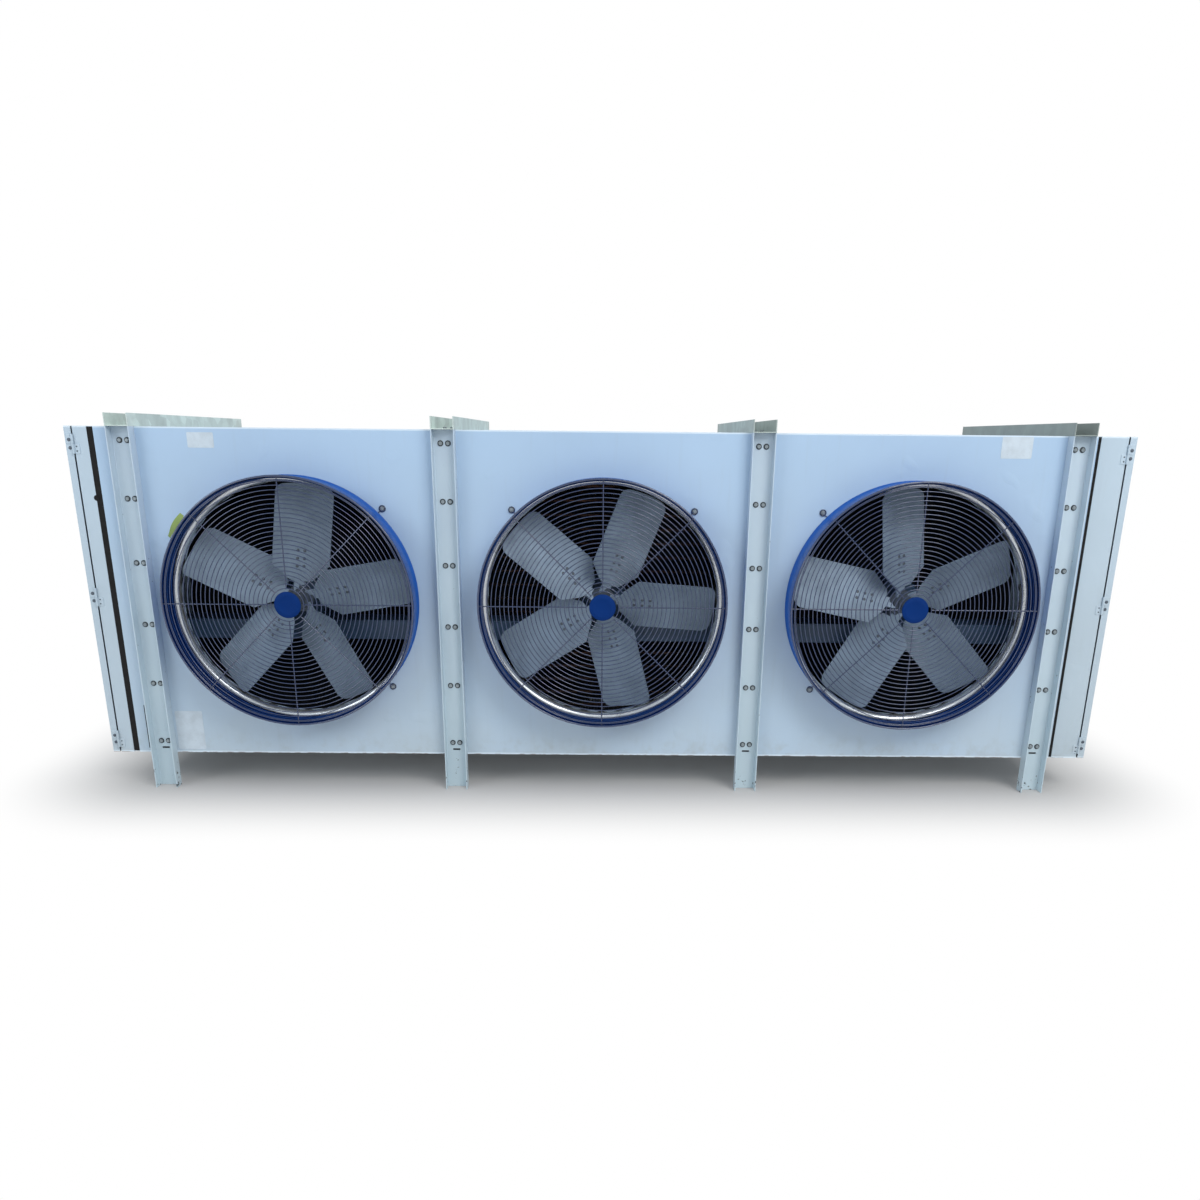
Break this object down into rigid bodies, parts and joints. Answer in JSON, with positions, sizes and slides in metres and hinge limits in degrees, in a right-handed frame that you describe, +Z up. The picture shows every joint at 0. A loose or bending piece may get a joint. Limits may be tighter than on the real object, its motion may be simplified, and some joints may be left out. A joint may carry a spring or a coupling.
{
  "type": "refrigeration evaporator (unit cooler)",
  "caption": "Refrigeration evaporator on channel legs: a painted sheet cabinet with round wire-guarded fans in a row, a finned coil behind and hinged end doors.",
  "frame": {"origin": "on the floor, in the middle of the length and of the depth", "axes": "+X along the row of fans to the right seen from the front, -Y the way the fans blow, +Z up"},
  "size_m": [3.42, 1.046, 1.247],
  "materials": {
    "white_paint": "satin",
    "leg_paint": "satin",
    "channel_steel": "matte",
    "blue_paint": "gloss",
    "galvanised_steel": "satin",
    "blade_aluminium": "satin",
    "grey_paint": "satin",
    "fin_aluminium": "satin",
    "black_rubber": "matte"
  },
  "bodies": {
    "cabinet": {"base_pan": "white_paint", "coil": "fin_aluminium", "end_back_left": "white_paint", "end_back_right": "white_paint", "end_front_left": "white_paint", "end_front_right": "white_paint", "end_wall_left": "white_paint", "end_wall_right": "white_paint", "fan_collar_1": "blue_paint", "fan_collar_2": "blue_paint", "fan_collar_3": "blue_paint", "fan_guard_1": "blue_paint", "fan_guard_2": "blue_paint", "fan_guard_3": "blue_paint", "fan_motor_1": "grey_paint", "fan_motor_2": "grey_paint", "fan_motor_3": "grey_paint", "front_leg_1": "leg_paint", "front_leg_2": "leg_paint", "front_leg_3": "leg_paint", "front_leg_4": "leg_paint", "front_panel_1": "white_paint", "front_panel_2": "white_paint", "front_panel_3": "white_paint", "motor_rail": "grey_paint", "orifice_ring_1": "galvanised_steel", "orifice_ring_2": "galvanised_steel", "orifice_ring_3": "galvanised_steel", "rear_bottom_rail": "white_paint", "rear_leg_1": "leg_paint", "rear_leg_2": "leg_paint", "rear_leg_3": "leg_paint", "rear_leg_4": "leg_paint", "rear_top_rail": "white_paint", "roof_channel_1": "channel_steel", "roof_channel_2": "channel_steel", "roof_channel_3": "channel_steel", "roof_channel_4": "channel_steel", "roof_sheet": "white_paint", "seam_seal_left": "black_rubber", "seam_seal_right": "black_rubber"},
    "fan_1": {"fan_rotor_1": "blade_aluminium"},
    "fan_2": {"fan_rotor_2": "blade_aluminium"},
    "fan_3": {"fan_rotor_3": "blade_aluminium"},
    "left_door": {"end_door_left": "white_paint"},
    "right_door": {"end_door_right": "white_paint"}
  },
  "joints": [
    {"name": "fan_1_spin", "type": "hinge", "parent": "cabinet", "child": "fan_1", "pos_m": [-1.016, -0.381, 0.662], "axis": [0, -1, 0], "continuous": true},
    {"name": "fan_2_spin", "type": "hinge", "parent": "cabinet", "child": "fan_2", "pos_m": [0, -0.381, 0.662], "axis": [0, -1, 0], "continuous": true},
    {"name": "fan_3_spin", "type": "hinge", "parent": "cabinet", "child": "fan_3", "pos_m": [1.016, -0.381, 0.662], "axis": [0, -1, 0], "continuous": true},
    {"name": "left_door_hinge", "type": "hinge", "parent": "cabinet", "child": "left_door", "pos_m": [-1.6855, -0.409, 0.66], "axis": [0, 0, 1], "range_deg": [0, 110]},
    {"name": "right_door_hinge", "type": "hinge", "parent": "cabinet", "child": "right_door", "pos_m": [1.6855, -0.409, 0.66], "axis": [0, 0, -1], "range_deg": [0, 110]}
  ]
}
